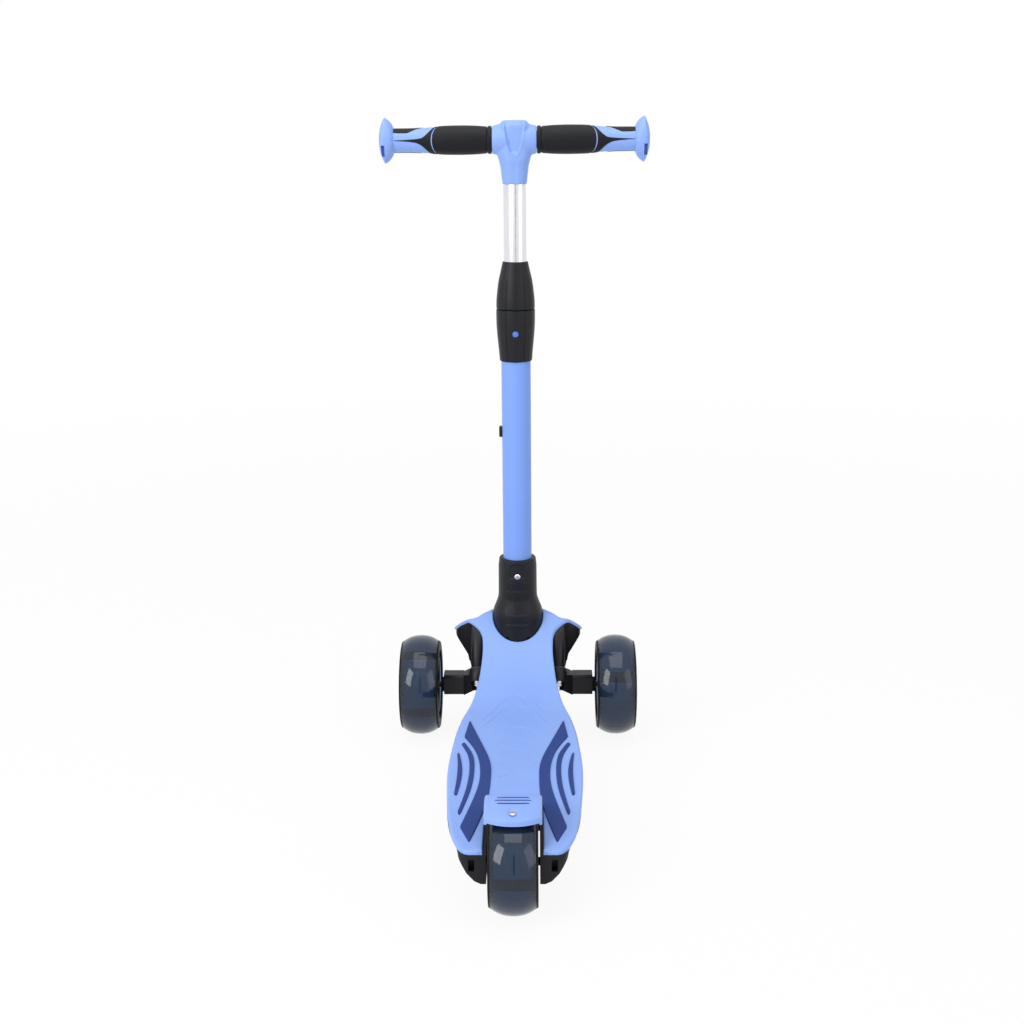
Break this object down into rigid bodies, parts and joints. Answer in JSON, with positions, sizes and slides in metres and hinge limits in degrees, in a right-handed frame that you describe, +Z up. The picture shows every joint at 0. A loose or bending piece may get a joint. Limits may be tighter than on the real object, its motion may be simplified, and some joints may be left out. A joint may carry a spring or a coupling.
{
  "type": "kick scooter",
  "caption": "Child's folding kick scooter with paired front wheels that steer by leaning, a rear wheel under a brake fender, and a height-adjusting T-bar.",
  "frame": {"origin": "on the ground, under the middle of the scooter's width and length", "axes": "+Y forwards, +X the rider's right, +Z up"},
  "size_m": [0.301, 0.518, 0.7258],
  "materials": {
    "blue_plastic": "moulded satin plastic, light blue",
    "blue_paint": "powder-coated tube, light blue",
    "navy_rubber": "soft grip pad, dark blue",
    "black_plastic": "moulded satin plastic, black",
    "black_rubber": "soft grip rubber, black",
    "clear_tyre": "smoky dark blue polyurethane, glossy",
    "hub_plastic": "wheel core, dark blue",
    "bright_steel": "polished tube",
    "steel": "zinc-plated fasteners and pins",
    "bush_rubber": "centring ring"
  },
  "bodies": {
    "deck": {"deck_cover": "blue_plastic", "deck_base": "black_plastic", "deck_pads_left": "navy_rubber", "deck_pads_right": "navy_rubber", "nose_trim": "navy_rubber", "truck_housing": "black_plastic", "deck_screws": "steel", "bracket_bolts": "steel", "kingpin_left": "steel", "kingpin_right": "steel", "kingpin_bush_left": "bush_rubber", "kingpin_bush_right": "bush_rubber", "rear_axle": "steel", "rear_axle_nut": "steel", "brake_pin": "steel", "brake_spring": "steel", "fold_bracket": "steel", "fold_pin": "steel", "latch_pin": "steel", "latch_spring": "steel"},
    "steer_left": {"knuckle_left": "black_plastic", "tie_pin_left": "steel", "front_axle_left": "steel", "front_axle_nut_left": "steel"},
    "steer_right": {"knuckle_right": "black_plastic", "tie_pin_right": "steel", "front_axle_right": "steel", "front_axle_nut_right": "steel"},
    "steer_link": {"tie_rod": "steel"},
    "wheel_left": {"front_tyre_left": "clear_tyre", "front_hub_left": "hub_plastic", "front_bearings_left": "steel"},
    "wheel_right": {"front_tyre_right": "clear_tyre", "front_hub_right": "hub_plastic", "front_bearings_right": "steel"},
    "wheel_rear": {"rear_tyre": "clear_tyre", "rear_hub": "hub_plastic", "rear_bearings": "steel"},
    "brake": {"brake_fender": "blue_plastic", "brake_screw": "steel", "brake_plate": "steel"},
    "stem": {"stem_foot": "steel", "stem_boot": "black_plastic", "boot_screw": "steel", "outer_tube": "blue_paint", "tube_plug": "black_plastic", "clamp_body": "black_plastic", "clamp_collet": "black_plastic", "button_spring": "steel"},
    "latch": {"fold_latch": "black_plastic"},
    "collar": {"clamp_collar": "black_plastic"},
    "button": {"height_button": "blue_plastic"},
    "handlebar": {"inner_tube": "bright_steel", "t_joint": "blue_plastic", "t_joint_screw": "steel", "bar_tube": "steel", "grip_core_left": "blue_plastic", "grip_core_right": "blue_plastic", "grip_left": "black_rubber", "grip_right": "black_rubber"}
  },
  "joints": [
    {"name": "steer_left", "type": "hinge", "parent": "deck", "child": "steer_left", "pos_m": [-0.048, 0.191, 0.089], "axis": [0, 0.5, 0.866], "range_deg": [-12, 12], "stiffness_Nm_per_rad": 6},
    {"name": "steer_right", "type": "hinge", "parent": "deck", "child": "steer_right", "pos_m": [0.048, 0.191, 0.089], "axis": [0, 0.5, 0.866], "range_deg": [-12, 12], "stiffness_Nm_per_rad": 6},
    {"name": "tie_rod_pivot", "type": "hinge", "parent": "steer_left", "child": "steer_link", "pos_m": [-0.048, 0.21052, 0.0708], "axis": [0, 0.5, 0.866], "range_deg": [-12.5, 12.5]},
    {"name": "front_left_spin", "type": "hinge", "parent": "steer_left", "child": "wheel_left", "pos_m": [-0.118, 0.199, 0.06], "axis": [1, 0, 0], "continuous": true},
    {"name": "front_right_spin", "type": "hinge", "parent": "steer_right", "child": "wheel_right", "pos_m": [0.118, 0.199, 0.06], "axis": [1, 0, 0], "continuous": true},
    {"name": "rear_spin", "type": "hinge", "parent": "deck", "child": "wheel_rear", "pos_m": [0, -0.209, 0.05], "axis": [1, 0, 0], "continuous": true},
    {"name": "brake_press", "type": "hinge", "parent": "deck", "child": "brake", "pos_m": [0, -0.1494, 0.064], "axis": [1, 0, 0], "range_deg": [0, 2.4], "stiffness_Nm_per_rad": 6, "springref_deg": -1.72},
    {"name": "stem_fold", "type": "hinge", "parent": "deck", "child": "stem", "pos_m": [0, 0.2, 0.126], "axis": [1, 0, 0], "range_deg": [0, 80]},
    {"name": "latch_press", "type": "hinge", "parent": "deck", "child": "latch", "pos_m": [0, 0.239, 0.108], "axis": [-1, 0, 0], "range_deg": [0, 8], "stiffness_Nm_per_rad": 0.4, "springref_deg": -8.59},
    {"name": "collar_twist", "type": "hinge", "parent": "stem", "child": "collar", "pos_m": [0, 0.221, 0.53], "axis": [0, 0, 1], "range_deg": [0, 60]},
    {"name": "button_press", "type": "slide", "parent": "stem", "child": "button", "axis": [0, 1, 0], "range_m": [0, 0.0015], "stiffness_N_per_m": 600, "springref_m": -0.001},
    {"name": "bar_height", "type": "slide", "parent": "stem", "child": "handlebar", "axis": [0, 0, 1], "range_m": [-0.08, 0.06]}
  ],
  "couplings": [
    {"joint": "steer_right", "follows": "steer_left", "ratio": 1},
    {"joint": "tie_rod_pivot", "follows": "steer_left", "ratio": -1}
  ]
}
